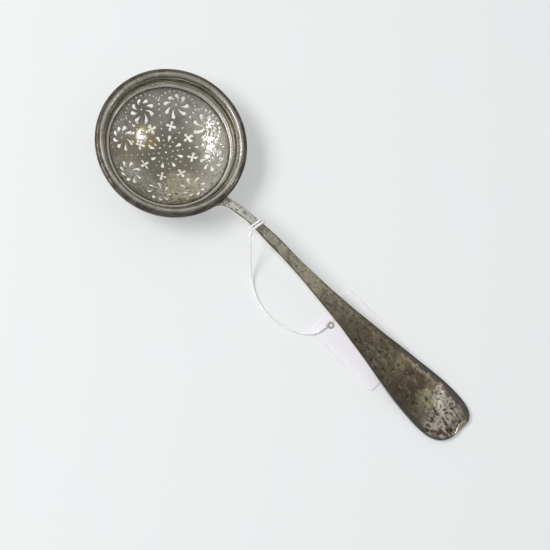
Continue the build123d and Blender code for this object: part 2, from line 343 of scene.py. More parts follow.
def sheet_mesh(walls, surface, spacing):
    """A closed sheet. walls holds one list of rings for each outline, the outer one first, and each runs
    from the top face to the bottom face. surface(x, y, side) gives z of a free point."""
    verts, faces, starts = [], [], []
    for rings in walls:
        n = len(rings[0])
        first = len(verts)
        starts.append([first + n * j for j in range(len(rings))])
        for ring in rings:
            verts.extend(ring)
        for j in range(len(rings) - 1):
            a, b = first + n * j, first + n * (j + 1)
            faces.extend((a + k, a + (k + 1) % n, b + (k + 1) % n, b + k) for k in range(n))
    for side in (0, -1):
        loops = [np.asarray(rings[side])[:, :2] for rings in walls]
        ids = [start[side] + k for start, loop in zip(starts, loops) for k in range(len(loop))]
        owner = [i for i, loop in enumerate(loops) for _ in loop]
        edges, base = [], 0
        for loop in loops:
            n = len(loop)
            edges.extend((base + k, base + (k + 1) % n) for k in range(n))
            base += n
        extra = free_points(loops, spacing)
        flat = [Vector(p) for loop in loops for p in loop] + [Vector(p) for p in extra]
        out, _, triangles, origin, _, _ = delaunay_2d_cdt(flat, edges, [], 0, 1e-6, True)
        for x, y in extra:
            ids.append(len(verts))
            verts.append((x, y, surface(x, y, side)))
            owner.append(-1)
        source = [o[0] for o in origin]
        for triangle in triangles:
            corners = [source[t] for t in triangle]
            owners = {owner[c] for c in corners}
            if len(owners) == 1 and (hole := owners.pop()) >= 0:
                centre = sum((flat[c] for c in corners), Vector((0, 0))) / 3
                within = inside(np.array([centre]), loops[hole])[0]
                if within == (hole > 0):
                    continue
            faces.append([ids[c] for c in corners])
    return np.array(verts, float), faces


def revolved(profile, segments):
    """Vertices and quads of a closed profile [(r, z), ...] turned about Z."""
    turns = np.linspace(0, 2 * math.pi, segments, endpoint=False)
    verts = [(r * math.cos(a), r * math.sin(a), z) for r, z in profile for a in turns]
    n, rows = segments, len(profile)
    faces = [(j * n + k, j * n + (k + 1) % n, (j + 1) % rows * n + (k + 1) % n, (j + 1) % rows * n + k)
             for j in range(rows) for k in range(n)]
    return np.array(verts), faces


def dented(verts, dents):
    """Moves vertices by slow noises, as the marks of a hammer and of long use do: (depth, size, seed) each."""
    for depth, size, seed in dents:
        noise.seed_set(seed)
        shift = Vector((seed * 7.3, seed * 3.1, seed * 5.7))
        moved = [np.array(noise.noise_vector(Vector(v) / size + shift)) for v in verts]
        verts = verts + depth * np.array(moved)
    return verts


def natural_spline(knots, values):
    """A smooth curve through the stations, as a function."""
    x, y = np.array(knots, float), np.array(values, float)
    n, h = len(x), np.diff(x)
    system, right = np.eye(n), np.zeros(n)
    for i in range(1, n - 1):
        system[i, i - 1:i + 2] = h[i - 1], 2 * (h[i - 1] + h[i]), h[i]
        right[i] = 6 * ((y[i + 1] - y[i]) / h[i] - (y[i] - y[i - 1]) / h[i - 1])
    bend = np.linalg.solve(system, right)

    def curve(at):
        i = int(np.clip(np.searchsorted(x, at) - 1, 0, n - 2))
        a, b = x[i + 1] - at, at - x[i]
        return ((bend[i] * a**3 + bend[i + 1] * b**3) / (6 * h[i])
                + (y[i] / h[i] - bend[i] * h[i] / 6) * a + (y[i + 1] / h[i] - bend[i + 1] * h[i] / 6) * b)
    return curve


# ---------------------------------------------------------------- bowl
def drop_outline(tail, tip, radius):
    """A teardrop along x, as in the CAD."""
    centre = tip - radius
    turn = math.acos(radius / (centre - tail))
    x, y = centre - radius * math.cos(turn), radius * math.sin(turn)
    sides = 5
    up = [(tail + (x - tail) * t, y * t) for t in np.linspace(0, 1, sides, endpoint=False)]
    round_end = arc((x, y), (tip, 0), (x, -y), 14)
    down = [(x + (tail - x) * t, -y * (1 - t)) for t in np.linspace(0, 1, sides, endpoint=False)]
    return up + round_end + down


def petal_outline(tip, curl):
    """A curled petal along x, from a pointed tail to a round head beside the line."""
    head, middle = tip - HEAD_R, (PETAL_TAIL + tip) / 2
    ends = [(head + HEAD_R * math.cos(a), HEAD_SIDE + HEAD_R * math.sin(a))
            for a in np.radians((-60, 25, 155))]
    points = [(PETAL_TAIL, -0.1), (middle - 0.25, -0.38), *ends, (middle - 0.2, 0.12)]
    tail, back, crown, nose, chin, belly = [(x, y * curl) for x, y in points]
    return arc(tail, back, crown, 10) + arc(crown, nose, chin, 14) + arc(chin, belly, tail, 9)


def cross_outline():
    """Four drops with their tails crossed: one arm's outer half repeated round the middle."""
    waist, back, side = 0.22, ARM_TIP - 1.35 * ARM_R, 0.93 * ARM_R
    arm = [(waist, -waist)] + arc((back, -side), (ARM_TIP, 0), (back, side), 13) + [(back, side)]
    return [(x * c - y * s, x * s + y * c) for c, s in ((1, 0), (0, 1), (-1, 0), (0, -1)) for x, y in arm]


def disc(radius, sides=12):
    return [(radius * math.cos(a), radius * math.sin(a))
            for a in np.linspace(0, 2 * math.pi, sides, endpoint=False)]


def sheet_axes(r, angle):
    """Origin in the middle of the sheet, then the directions up the bowl, along the ring and inward."""
    middle = R_INNER + SHEET / 2
    rise, a = math.asin(r / middle), math.radians(angle)
    inward = np.array([-math.sin(rise) * math.cos(a), -math.sin(rise) * math.sin(a), math.cos(rise)])
    outward = np.array([math.cos(rise) * math.cos(a), math.cos(rise) * math.sin(a), math.sin(rise)])
    return np.array([0, 0, CAP_Z]) - inward * middle, outward, np.cross(inward, outward), inward


def turned(outline, degrees):
    a = math.radians(degrees)
    c, s = math.cos(a), math.sin(a)
    return [(x * c - y * s, x * s + y * c) for x, y in outline]


def cut_wall(axes, outline):
    """The rings of one pierced hole, from the inside of the bowl to the outside."""
    origin, out, along, inward = axes
    centre = np.array([0, 0, CAP_Z])
    rings = []
    for grow, depth in ((CUT_EDGE, 0), (CUT_EDGE * 0.3, CUT_EDGE * 0.3), (0, CUT_EDGE), (0, SHEET - CUT_EDGE),
                        (CUT_EDGE * 0.3, SHEET - CUT_EDGE * 0.3), (CUT_EDGE, SHEET)):
        flat = grown(outline, grow)
        base = origin + flat[:, :1] * out + flat[:, 1:] * along - centre
        radius = R_INNER + depth
        b = base @ inward
        reach = -b - np.sqrt(b * b - (base * base).sum(1) + radius * radius)
        ring = base + reach[:, None] * inward + centre
        ring[:, 2] = np.maximum(ring[:, 2], 0)
        rings.append(ring)
    return rings


def pierced_walls():
    """Every hole in the bowl, each a little out of true as hand piercing is."""
    rng = random.Random(8)
    walls = []

    def pierce(r, angle, outline, turn=0.0):
        walls.append(cut_wall(sheet_axes(r, angle), turned(outline, turn)))

    def dot(r, angle, radius):
        size = radius * rng.uniform(0.86, 1.12)
        pierce(r + rng.uniform(-0.08, 0.08), angle + rng.uniform(-0.3, 0.3) * 10 / max(r, 4), disc(size))

    dot(0.01, 0, CENTRE_DOT_R)
    for i in range(REPEATS):
        at = ROSETTE_PHASE + i * STEP + rng.uniform(-0.6, 0.6)
        line = LINE_PHASE + i * STEP + rng.uniform(-0.5, 0.5)
        for r in LINE_RADII:
            dot(r, line, DOT_R)
        for angle in SCALLOP_ANGLES:
            r = SCALLOP_TOP - SCALLOP_DEPTH * (angle / (STEP / 2)) ** SCALLOP_POWER
            for side in sorted({angle, -angle}):
                dot(r, at + side, SMALL_DOT_R)
        pierce(R_CROSS, at, cross_outline(), rng.uniform(-5, 5))
        pierce(R_DROP, at - 3, drop_outline(*DROP), rng.uniform(-5, 5))
        axes = sheet_axes(R_ROSETTE, at)
        walls.append(cut_wall(axes, disc(DOT_R)))
        for k in range(PETALS):
            turn = k * 360 / PETALS + rng.uniform(-4, 4)
            tip = PETAL_TIP - PETAL_SHIFT * math.cos(math.radians(turn)) + rng.uniform(-0.12, 0.12)
            walls.append(cut_wall(axes, turned(petal_outline(tip, CURLS[i]), turn)))
    return walls


def cap_height(x, y, side):
    """The inner face of the cap, or its outer face with the wear flat."""
    radius = R_INNER if side == 0 else R_INNER + SHEET
    return max(0.0, CAP_Z - math.sqrt(radius**2 - x * x - y * y))


def rim_profile():
    """From the edge of the pierced part, over the bead, up the cove, round the flange and back under."""
    cap = lambda r, radius: CAP_Z - math.sqrt(radius**2 - r * r)
    bead_in, bead_out = (R_BEAD_IN, cap(R_BEAD_IN, R_INNER)), (R_BEAD_OUT, cap(R_BEAD_OUT, R_INNER))
    r_bead = (R_BEAD_IN + R_BEAD_OUT) / 2
    bead_top = (r_bead, cap(r_bead, R_INNER) + BEAD_RISE)
    seat, under = (R_COVE, RIM_SEAT_Z), RIM_SEAT_Z - FLANGE
    profile = arc(bead_in, bead_top, bead_out, 8) + arc(bead_out, (21.6, 9.4), seat, 10)
    profile += [seat, (23.5, RIM_SEAT_Z), (R_RIM - SOFT, RIM_SEAT_Z), (R_RIM, RIM_SEAT_Z - SOFT),
                (R_RIM, under + 0.12), (R_RIM - 0.12, under), (23.6, under)]
    foot = (21.0, cap(21.0, R_INNER + SHEET))
    profile += arc((22.7, under), (22.2, 8.9), foot, 8) + [foot]
    return profile


def make_bowl(material):
    """The pierced sheet. Its dents fade towards the wear flat and the flange's edge, which keep their size."""
    turns = np.linspace(0, 2 * math.pi, BOWL_SEGMENTS, endpoint=False)
    rim = [np.array([(r * math.cos(a), r * math.sin(a), z) for a in turns]) for r, z in rim_profile()]
    verts, faces = sheet_mesh([rim] + pierced_walls(), cap_height, BOWL_GRID)
    off_table, height_fade, edge_fade = 0.05, 0.8, 3
    from_edge = (R_RIM + SOFT - np.hypot(*verts.T[:2])) / edge_fade
    free = np.clip(verts[:, 2] / height_fade, 0, 1)[:, None] * np.clip(from_edge, 0, 1)[:, None]
    moved = verts + (dented(verts, BOWL_DENTS) - verts) * free
    verts = np.where(verts[:, 2:] > off_table, moved, verts)
    return add_mesh("pierced_bowl", verts, faces, material, "silver", ["bowl"])


def make_rim(material):
    """The moulded wire: a round reed and a slope outside it, both worn and a little uneven."""
    foot = R_COVE + 0.02
    profile = [(R_COVE + SOFT, RIM_SEAT_Z), (R_RIM - SOFT, RIM_SEAT_Z), (R_RIM, RIM_SEAT_Z + SOFT)]
    profile += arc((R_RIM, EDGE_Z), SLOPE_MID, GROOVE, 9) + arc(GROOVE, REED_CREST, REED_SHOULDER, 16)
    profile += [REED_SHOULDER, REED_WALL, (foot, RIM_SEAT_Z + 0.25), (foot, RIM_SEAT_Z + SOFT)]
    verts, faces = revolved(profile, RIM_SEGMENTS)
    return add_mesh("moulded_rim", dented(verts, RIM_DENTS), faces, material, "silver", ["rim_wire"])


# ---------------------------------------------------------------- handle
def along_handle(start, end, column):
    """A height that runs smoothly through the handle's stations."""
    knots = [(ROOT_X - 1, start)] + [(s[0], column(s)) for s in STATIONS] + [(TIP_X + 1, end)]
    return natural_spline([k[0] for k in knots], [k[1] for k in knots])


top_line = along_handle(ROOT_TOP_Z, TIP_TOP_Z, lambda s: s[3])
low_line = along_handle(ROOT_BOTTOM_Z, 0.0, lambda s: s[3] - s[4])
near_side = natural_spline([s[0] for s in STATIONS], [s[1] for s in STATIONS])
far_side = natural_spline([s[0] for s in STATIONS], [s[2] for s in STATIONS])


def handle_outline():
    """The handle seen from above: a smooth curve round its stations and tip, and a straight root."""
    near = list(NEAR_ROOT) + [(x, y) for x, y, _, _, _ in STATIONS]
    far = [(x, y) for x, _, y, _, _ in reversed(STATIONS)] + list(FAR_ROOT)
    points = np.array(near + list(reversed(TIP)) + far)
    along = np.r_[0, np.cumsum(np.linalg.norm(np.diff(points, axis=0), axis=1))]
    x, y = natural_spline(along, points[:, 0]), natural_spline(along, points[:, 1])
    side = [(x(t), y(t)) for t in np.linspace(0, along[-1], OUTLINE_POINTS)]
    root = [(ROOT_X, y) for y in np.linspace(side[-1][1], side[0][1], ROOT_POINTS)]
    return np.array(side + root)


def handle_height(x, y, side):
    """The upper or lower face: a slight crown on top that falls away at the margins, flat below."""
    if side:
        return max(0.0, low_line(min(x, TIP_X)))
    at = min(max(x, STATIONS[0][0]), STATIONS[-1][0])
    middle, half = (near_side(at) + far_side(at)) / 2, (far_side(at) - near_side(at)) / 2
    edge = min(1.0, abs(y - middle) / half)
    top = top_line(min(x, TIP_X)) - CROWN * edge**2 - MARGIN_DROP * edge**8
    within = KNOCK_HALF + KNOCK_FADE - abs(y - KNOCK[1])
    if within > 0:
        past = x - KNOCK[0] + KNOCK_CURVE * math.cos((y - KNOCK[1]) * KNOCK_WAVE)
        fade = min(1.0, within / (2 * KNOCK_FADE))
        top -= max(0.0, past) * math.tan(math.radians(KNOCK_SLOPE)) * fade
    return max(top, LEAST_TOP)


def make_handle(material):
    """The forged handle with rounded edges. Its dents fade where it rests on the table."""
    outline = handle_outline()
    wall = []
    for side, edge, turns in ((0, TOP_ROUND, (0, 22, 45, 68, 90)), (-1, UNDER_ROUND, (90, 60, 30, 0))):
        for a in np.radians(turns):
            flat = grown(outline, -edge * (1 - math.sin(a)))
            drop = edge * (1 - math.cos(a)) * (-1 if side == 0 else 1)
            wall.append(np.c_[flat, [handle_height(x, y, side) + drop for x, y in flat]])
    verts, faces = sheet_mesh([wall], handle_height, HANDLE_GRID)
    off_table, height_fade = 0.05, 0.6
    free = np.clip((verts[:, 2] - off_table) / height_fade, 0, 1)[:, None]
    verts = verts + (dented(verts, HANDLE_DENTS) - verts) * free
    return add_mesh("forged_handle", verts, faces, material, "silver", ["handle"])


# ---------------------------------------------------------------- thread and ticket
def spline_line(name, points):
    """The points that a NURBS line follows, from its own control points."""
    data = bpy.data.curves.new(name, "CURVE")
    data.dimensions = "3D"
    spline = data.splines.new("NURBS")
    spline.points.add(len(points) - 1)
    for knot, point in zip(spline.points, points):
        knot.co = (*(Vector(point) * MM), 1)
    spline.order_u = 3
    spline.use_endpoint_u = True
    spline.resolution_u = 14
    curve = bpy.data.objects.new(name, data)
    bpy.context.scene.collection.objects.link(curve)
    bpy.context.view_layer.update()
    flat = bpy.data.meshes.new_from_object(curve)
    line = [v.co / MM for v in flat.vertices]
    bpy.data.objects.remove(curve)
    bpy.data.meshes.remove(flat)
    return line


def evenly(line, step, closed=False):
    """Points at an even step along a line."""
    p = np.array([tuple(v) for v in line] + ([tuple(line[0])] if closed else []))
    along = np.r_[0, np.cumsum(np.linalg.norm(np.diff(p, axis=0), axis=1))]
    count = max(4, int(round(along[-1] / step)))
    at = np.linspace(0, along[-1], count + 1)
    if closed:
        at = at[:-1]
    return np.array([[np.interp(a, along, p[:, i]) for i in range(3)] for a in at])


def ply_mesh(line, diameter, closed=False):
    """Twisted plies laid round a line, as in sewing thread."""
    p = evenly(line, PLY_STEP, closed)
    ahead = np.roll(p, -1, 0) - p if closed else np.gradient(p, axis=0)
    ahead /= np.linalg.norm(ahead, axis=1)[:, None]
    up = np.array([0.0, 0.0, 1.0]) if abs(ahead[0][2]) < 0.8 else np.array([1.0, 0.0, 0.0])
    across = np.cross(ahead[0], up)
    frames = []
    for t in ahead:
        across = across - t * (across @ t)
        across /= np.linalg.norm(across)
        frames.append((across, np.cross(t, across)))
    rows, turns = len(p), PLY_STEP * len(p) / PLY_PITCH
    if closed:
        turns = round(turns)
    ply_r = diameter * 0.27
    lay_r = diameter / 2 - ply_r
    verts, faces = [], []
    for ply in range(PLIES):
        first = len(verts)
        for i, (point, (u, v)) in enumerate(zip(p, frames)):
            a = 2 * math.pi * (ply / PLIES + turns * i / rows)
            centre = point + lay_r * (u * math.cos(a) + v * math.sin(a))
            swell = 1 + 0.07 * math.sin(i * 0.9 + ply * 2.1) + 0.05 * math.sin(i * 0.37 + ply)
            for k in range(PLY_SIDES):
                b = 2 * math.pi * k / PLY_SIDES
                verts.append(centre + ply_r * min(swell, 1.0) * (u * math.cos(b) + v * math.sin(b)))
        for i in range(rows if closed else rows - 1):
            here, there = first + i * PLY_SIDES, first + (i + 1) % rows * PLY_SIDES
            faces.extend((here + k, here + (k + 1) % PLY_SIDES, there + (k + 1) % PLY_SIDES, there + k)
                         for k in range(PLY_SIDES))
        if not closed:
            faces.append([first + k for k in range(PLY_SIDES)][::-1])
            faces.append([first + (rows - 1) * PLY_SIDES + k for k in range(PLY_SIDES)])
    return verts, faces


def make_tail(material):
    """The loose thread, from the knot at the neck down to the table and to the ticket."""
    line = spline_line("tail line", TAIL)
    verts, faces = ply_mesh(line, THREAD)
    tail = add_mesh("thread_strand", verts, faces, material, "thread", ["thread_tail"])
    return tail, [tuple(v * MM) for v in line]


def make_wrap(number, material):
    """One turn of thread drawn tight round the neck."""
    x = WRAPS_X[number]
    middle, half = (near_side(x) + far_side(x)) / 2, (far_side(x) - near_side(x) + THREAD) / 2
    low, high = low_line(x) - THREAD / 2, top_line(x) + THREAD / 2 - 0.1
    shoulder, corner, waist = half - 0.55, half * 0.93, (low + high) / 2
    section = arc((-half, waist), (-corner, high - 0.25), (-shoulder, high), 5) + [(0, high)]
    section += arc((shoulder, high), (corner, high - 0.25), (half, waist), 5)
    section += arc((half, waist), (corner, low + 0.25), (shoulder, low), 5) + [(0, low)]
    section += arc((-shoulder, low), (-corner, low + 0.25), (-half, waist), 5)
    loop = [Vector((x + y * WRAP_LEAN, middle + y, z)) for y, z in section]
    verts, faces = ply_mesh(loop, THREAD, closed=True)
    name, node = f"thread_turn_{number + 1}", f"thread_wrap_{number + 1}"
    return add_mesh(name, verts, faces, material, "thread", [node])


def make_knot(name, centre, material, node):
    """A small overhand knot, a trefoil of thread pulled tight."""
    loop = []
    for t in np.linspace(0, 2 * math.pi, 60, endpoint=False):
        x = math.sin(t) + 2 * math.sin(2 * t)
        y = math.cos(t) - 2 * math.cos(2 * t)
        loop.append(Vector((centre[0] + x * KNOT_SIZE / 3, centre[1] + y * KNOT_SIZE / 3,
                            centre[2] - math.sin(3 * t) * KNOT_SIZE * 0.5)))
    verts, faces = ply_mesh(loop, THREAD * 0.72, closed=True)
    return add_mesh(name, verts, faces, material, "thread", [node])


def make_ticket(material):
    """The card, with clipped and rounded corners, soft edges and the eyelet's hole."""
    long, wide, thick = TICKET
    x, y, r = long / 2, wide / 2, TICKET_CORNER
    corner = r * (1 - math.sqrt(0.5))
    outline = []
    for start, middle, end in (
        ((x, -y + r), (x - corner, -y + corner), (x - r, -y)),
        ((-x + r, -y), (-x + corner, -y + corner), (-x, -y + r)),
        ((-x, y - r), (-x + corner, y - corner), (-x + r, y)),
        ((x - r, y), (x - corner, y - corner), (x, y - r)),
    ):
        outline += arc(start, middle, end, 6) + [end]
    dense = []
    for p, q in zip(outline, outline[1:] + outline[:1]):
        steps = max(1, int(math.dist(p, q) / 0.8))
        dense += [(p[0] + (q[0] - p[0]) * t / steps, p[1] + (q[1] - p[1]) * t / steps) for t in range(steps)]
    outer = [(TICKET_CENTRE[0] + px, TICKET_CENTRE[1] + py) for px, py in turned(dense, TICKET_TURN)][::-1]
    hole = [(EYELET[0] + px, EYELET[1] + py) for px, py in disc(EYELET_HOLE, 24)]
    levels = (TICKET_EDGE, thick), (0, thick - TICKET_EDGE), (0, TICKET_EDGE), (TICKET_EDGE, 0.0)
    walls = [[np.c_[grown(loop, way * inset), np.full(len(loop), z)] for inset, z in levels]
             for loop, way in ((outer, -1), (hole, 1))]
    verts, faces = sheet_mesh(walls, lambda px, py, side: thick if side == 0 else 0.0, TICKET_GRID)
    return add_mesh("ticket_card", verts, faces, material, "card", ["ticket"])


def make_eyelet(material):
    """A rolled crown on the card and a thin sleeve through it."""
    seat, sleeve, foot = TICKET[2] + 0.01, EYELET_HOLE - 0.08, 0.05
    crown = ((EYELET_R + EYELET_HOLE) / 2, TICKET[2] + EYELET_RISE)
    profile = arc((EYELET_R, seat), crown, (EYELET_HOLE, seat), 10)
    profile += [(EYELET_HOLE, seat), (sleeve, TICKET[2] - 0.1), (sleeve, foot), (EYELET_HOLE, foot)]
    verts, faces = revolved(profile, EYELET_SEGMENTS)
    verts = verts + np.array([*EYELET, 0])
    return add_mesh("rolled_eyelet", verts, faces, material, "brass", ["eyelet"])


# ---------------------------------------------------------------- materials
class Nodes:
    """A short way to write a material's nodes."""

    def __init__(self, name):
        self.material = bpy.data.materials.new(name)
        self.material.use_nodes = True
        self.tree = self.material.node_tree
        self.shader = self.tree.nodes["Principled BSDF"]
        where = self.new("TexCoord")
        scale = self.new("VectorMath")
        scale.operation = "SCALE"
        scale.inputs["Scale"].default_value = 1 / MM
        self.tree.links.new(where.outputs["Object"], scale.inputs[0])
        self.place = scale.outputs[0]

    def new(self, kind):
        return self.tree.nodes.new("ShaderNode" + kind)

    def link(self, value, socket):
        """Puts a node's output, a colour or a number into a socket."""
        if isinstance(value, bpy.types.NodeSocket):
            self.tree.links.new(value, socket)
        elif isinstance(value, tuple) and len(value) == 3 and socket.type == "RGBA":
            socket.default_value = (*value, 1)
        else:
            socket.default_value = value

    def noise(self, size, detail=4, rough=0.6, place=None, warp=0.0):
        """Noise from 0 to 1 whose largest lumps are about size across."""
        node = self.new("TexNoise")
        node.inputs["Scale"].default_value = 1 / size
        node.inputs["Detail"].default_value = detail
        node.inputs["Roughness"].default_value = rough
        node.inputs["Distortion"].default_value = warp
        self.link(place or self.place, node.inputs["Vector"])
        return node.outputs["Fac"]

    def span(self, value, low, high, to_low=0.0, to_high=1.0, kind="SMOOTHSTEP"):
        """Goes from to_low to to_high as the value goes from low to high, and stays there past them."""
        node = self.new("MapRange")
        node.interpolation_type = kind
        for key, number in (("From Min", low), ("From Max", high), ("To Min", to_low), ("To Max", to_high)):
            node.inputs[key].default_value = number
        self.link(value, node.inputs["Value"])
        return node.outputs["Result"]

    def math(self, kind, a, b=0.0):
        node = self.new("Math")
        node.operation = kind
        self.link(a, node.inputs[0])
        self.link(b, node.inputs[1])
        return node.outputs[0]

    def mix(self, amount, a, b):
        node = self.new("Mix")
        node.data_type = "RGBA"
        self.link(amount, node.inputs["Factor"])
        self.link(a, node.inputs[6])
        self.link(b, node.inputs[7])
        return node.outputs[2]

    def stain_or_light(self, colour, tone, *amounts):
        """The colour with a tone laid over it, as strongly as the product of the amounts; used both for real tarnish
        and for painted highlights and shade.
        """
        return self.mix(self.times(*amounts), colour, tone)

    def parts(self):
        node = self.new("SeparateXYZ")
        self.link(self.place, node.inputs[0])
        return node.outputs[0], node.outputs[1], node.outputs[2]

    def upward(self, low=0.30, high=0.72):
        """1 on a face that looks up, 0 on a wall."""
        split = self.new("SeparateXYZ")
        geometry = self.new("NewGeometry")
        self.tree.links.new(geometry.outputs["Normal"], split.inputs[0])
        return self.span(split.outputs[2], low, high)

    def edge_line(self, x, points):
        """How far the handle's edge is from y = 0, by the points of its outline."""
        stops = [((px - ROOT_X) / (TIP_X - ROOT_X), (abs(py) / 10,) * 3) for px, py in sorted(points)]
        return self.times(self.ramp(self.span(x, ROOT_X, TIP_X, kind="LINEAR"), stops), 10.0)

    def stretched(self, x, y, z):
        node = self.new("VectorMath")
        node.operation = "MULTIPLY"
        self.link(self.place, node.inputs[0])
        node.inputs[1].default_value = (x, y, z)
        return node.outputs[0]

    def joined(self, x, y, z):
        node = self.new("CombineXYZ")
        for value, socket in zip((x, y, z), node.inputs):
            self.link(value, socket)
        return node.outputs[0]

    def times(self, *values):
        product = values[0]
        for value in values[1:]:
            product = self.math("MULTIPLY", product, value)
        return product

    def radius(self):
        """Distance from the bowl's axis."""
        x, y, _ = self.parts()
        return self.math("SQRT", self.math("ADD", self.times(x, x), self.times(y, y)))

    def rings(self, round_scale, across_scale):
        """A place that changes slowly round the bowl and quickly across it."""
        x, y, z = self.parts()
        r = self.radius()
        return self.joined(self.times(self.math("DIVIDE", x, r), round_scale),
                           self.times(self.math("DIVIDE", y, r), round_scale),
                           self.times(self.math("ADD", r, z), across_scale))

    def patch(self, x, y, inner, outer, ragged=0.0, size=3.0):
        """1 inside a round patch, 0 outside, with a ragged border."""
        px, py, _ = self.parts()
        dx, dy = self.math("SUBTRACT", px, x), self.math("SUBTRACT", py, y)
        away = self.math("SQRT", self.math("ADD", self.times(dx, dx), self.times(dy, dy)))
        if ragged:
            away = self.stray(away, self.noise(size, 5, 0.65), ragged)
        return self.span(away, inner, outer, 1.0, 0.0)

    def stray(self, value, noise, reach):
        """A value moved up and down by a noise, by about half of reach each way."""
        return self.math("ADD", value, self.times(self.math("SUBTRACT", noise, 0.5), reach))

    def ramp(self, value, stops):
        node = self.new("ValToRGB")
        ramp = node.color_ramp
        while len(ramp.elements) < len(stops):
            ramp.elements.new(0.5)
        for element, (at, colour) in zip(ramp.elements, stops):
            element.position, element.color = at, (*colour, 1)
        self.link(value, node.inputs["Fac"])
        return node.outputs["Color"]

    def bump(self, height, depth, under=None):
        node = self.new("Bump")
        node.inputs["Distance"].default_value = depth * MM
        self.link(height, node.inputs["Height"])
        if under:
            self.link(under, node.inputs["Normal"])
        return node.outputs["Normal"]

    def finish(self, **sockets):
        for name, value in sockets.items():
            self.link(value, self.shader.inputs[name.replace("_", " ")])
        return self.material


# the third colour is near-white silver, used only for painted highlights on the bead and the reed
BLACK, SILVER, PAINTED_HIGHLIGHT_SILVER = (0.03, 0.027, 0.024), (0.62, 0.60, 0.54), (0.95, 0.93, 0.88)

# stains in the bowl, and the painted glare of the far lamp: x and y, inner and outer radius, how ragged and by what
# grain, strength, colour
BOWL_STAINS_AND_GLARE = (
    (3.0, -1.5, 7.0, 14.0, 6.0, 3.0, 1.0, (0.285, 0.265, 0.215)),  # dark middle
    (-8.0, -1.5, 2.0, 6.0, 6.0, 3.0, 0.75, (0.52, 0.44, 0.23)),  # golden tarnish, opposite the handle, laid as the coloured fringe round the painted glare
    (-8.8, -2.6, 1.2, 2.6, 2.0, 3.0, 1.0, (0.80, 0.77, 0.72)),  # painted highlight: near-white where the far lamp's glare falls, inside the golden one
    (-9.0, -10.0, 2.0, 7.5, 7.0, 3.0, 0.65, (0.38, 0.31, 0.19)),  # brown
    (12.4, -7.0, 4.0, 8.5, 8.0, 2.0, 0.75, (0.62, 0.56, 0.42)),  # tan, low on the handle's side
    (-4.5, 9.0, 1.0, 5.5, 5.0, 3.0, 0.6, (0.24, 0.23, 0.215)),  # grey
    (-14.0, 3.0, 2.0, 5.0, 4.0, 3.0, 0.5, (0.27, 0.25, 0.23)),  # grey
)


def silver_bowl():
    """Grey worn silver with brown and olive sulphide in patches, a streaked cove, and painted highlights on the bead,
    on the cove and where the far lamp glares.
    """
    n = Nodes("tarnished silver bowl")
    slow, blotch = n.noise(7.0, 5, 0.6, warp=0.4), n.noise(2.2, 6, 0.68, warp=0.8)
    colour = n.mix(n.span(slow, 0.42, 0.60), (0.62, 0.60, 0.55), (0.50, 0.475, 0.42))
    for x, y, inner, outer, ragged, grain, strength, tone in BOWL_STAINS_AND_GLARE:
        colour = n.stain_or_light(colour, tone, n.patch(x, y, inner, outer, ragged, grain), strength)
    colour = n.stain_or_light(colour, (0.27, 0.225, 0.15), n.span(blotch, 0.52, 0.68, 0.0, 0.5))
    r = n.radius()
    margin = n.stray(r, n.noise(2.5, 4), 2.0)
    colour = n.stain_or_light(colour, (0.24, 0.21, 0.165), n.span(margin, 18.2, 19.8, 0.0, 0.45))
    streak = n.noise(1.0, 4, 0.6, place=n.rings(5.0, 1.8))
    cove = n.mix(n.span(streak, 0.36, 0.64), SILVER, (0.34, 0.315, 0.27))
    # painted highlight: the cove turns near-white in a patch on the side where the light is reflected
    painted_cove_highlight = n.mix(n.span(streak, 0.36, 0.66), (0.90, 0.88, 0.82), (0.58, 0.555, 0.50))
    cove = n.mix(n.patch(-1.0, 16.0, 13.0, 25.0, 4.0), cove, painted_cove_highlight)
    # painted highlight: the bead is near-white only in a patch on the side that faces the light
    bead = n.mix(n.patch(14.0, 15.0, 10.0, 20.0, 4.0), SILVER, PAINTED_HIGHLIGHT_SILVER)
    colour = n.mix(n.span(r, 19.75, 20.0), colour, bead)
    colour = n.mix(n.span(r, 20.40, 20.7), colour, cove)
    scale = n.span(n.noise(1.0, 5, 0.7, warp=0.6), 0.545, 0.585, 0.0, 0.6)
    colour = n.stain_or_light(colour, (0.16, 0.11, 0.05), scale, n.patch(11.0, -11.0, 5.0, 11.0))
    colour = n.stain_or_light(colour, BLACK, n.span(n.noise(0.5, 4, 0.65), 0.63, 0.72, 0.0, 0.8))
    rough = n.span(blotch, 0.35, 0.7, 0.10, 0.20)
    normal = n.bump(n.noise(0.16, 3, 0.7, place=n.stretched(0.08, 1, 1)), 0.0015)
    normal = n.bump(n.noise(1.3, 3, 0.5), 0.004, normal)
    return n.finish(Base_Color=colour, Metallic=1.0, Roughness=rough, Normal=normal)


